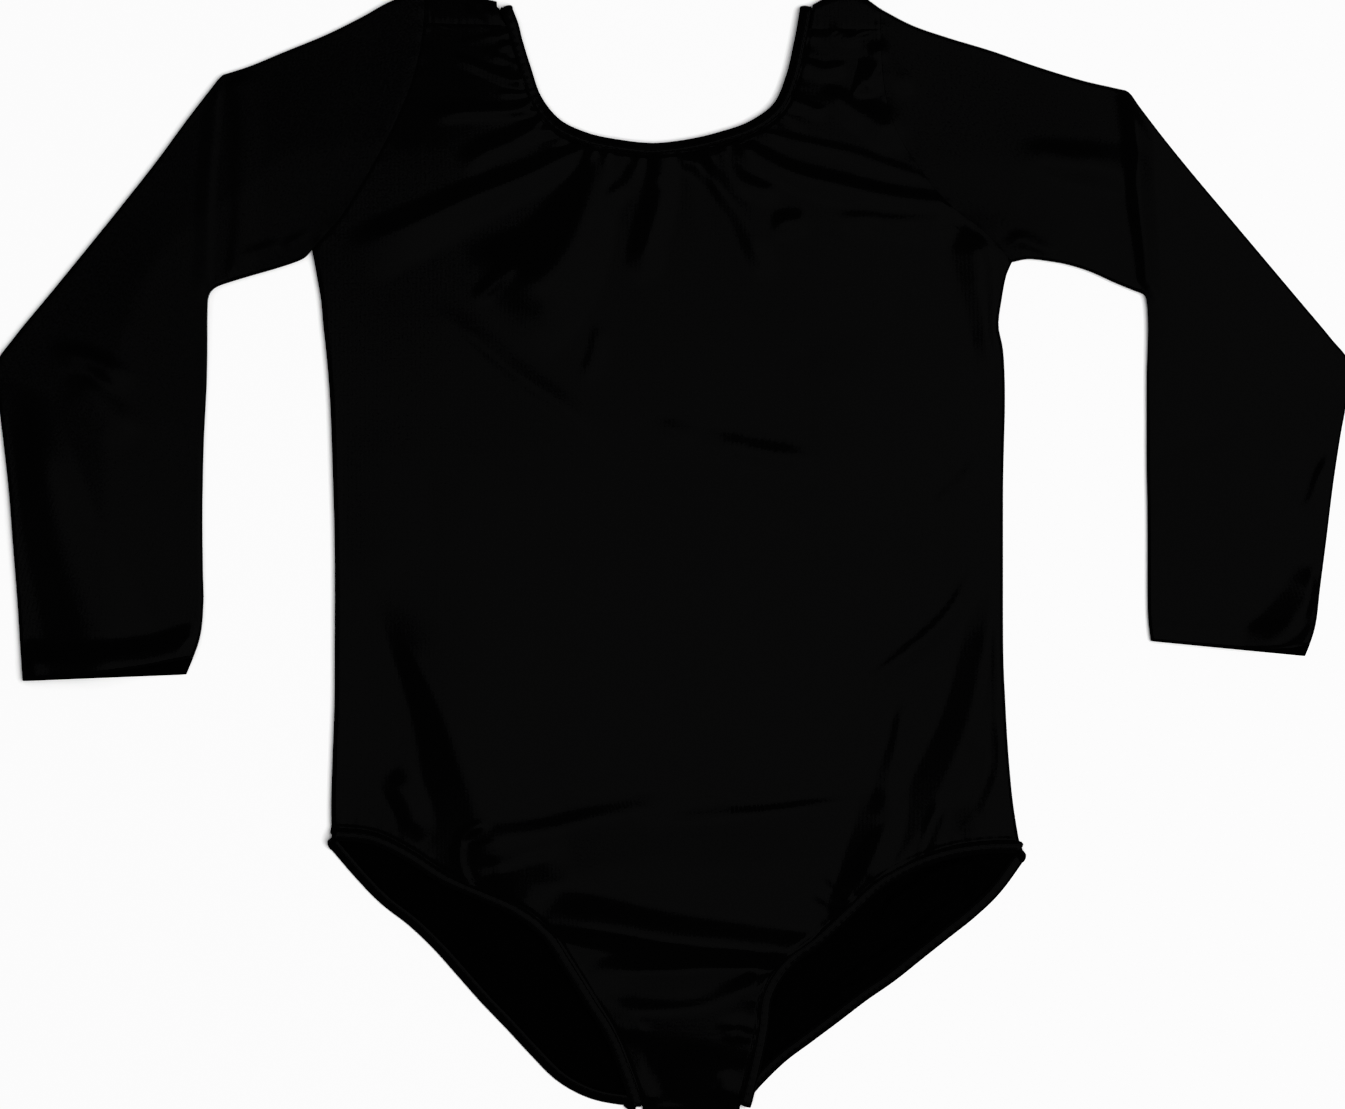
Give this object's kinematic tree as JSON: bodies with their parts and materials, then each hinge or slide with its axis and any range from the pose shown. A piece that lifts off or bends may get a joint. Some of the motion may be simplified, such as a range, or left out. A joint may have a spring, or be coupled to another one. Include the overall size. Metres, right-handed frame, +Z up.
{
  "type": "ballet leotard",
  "caption": "Child's long-sleeved scoop-neck ballet leotard laid flat, with gathered elastic neckline, bent sleeves and elastic leg openings.",
  "frame": {"origin": "on the surface that the garment lies on, under the middle of its box", "axes": "+Z up from the surface, +Y towards the neck, +X to the right seen from above with the front up"},
  "size_m": [0.5692, 0.4714, 0.0078],
  "materials": {
    "tricot": "satin-faced stretch tricot",
    "casing": "satin-faced stretch tricot over elastic"
  },
  "bodies": {
    "root": {"front_panel": "tricot", "back_panel": "tricot", "sleeve_left": "tricot", "sleeve_right": "tricot", "neck_casing": "casing", "leg_casing_left": "casing", "leg_casing_right": "casing"}
  },
  "joints": []
}
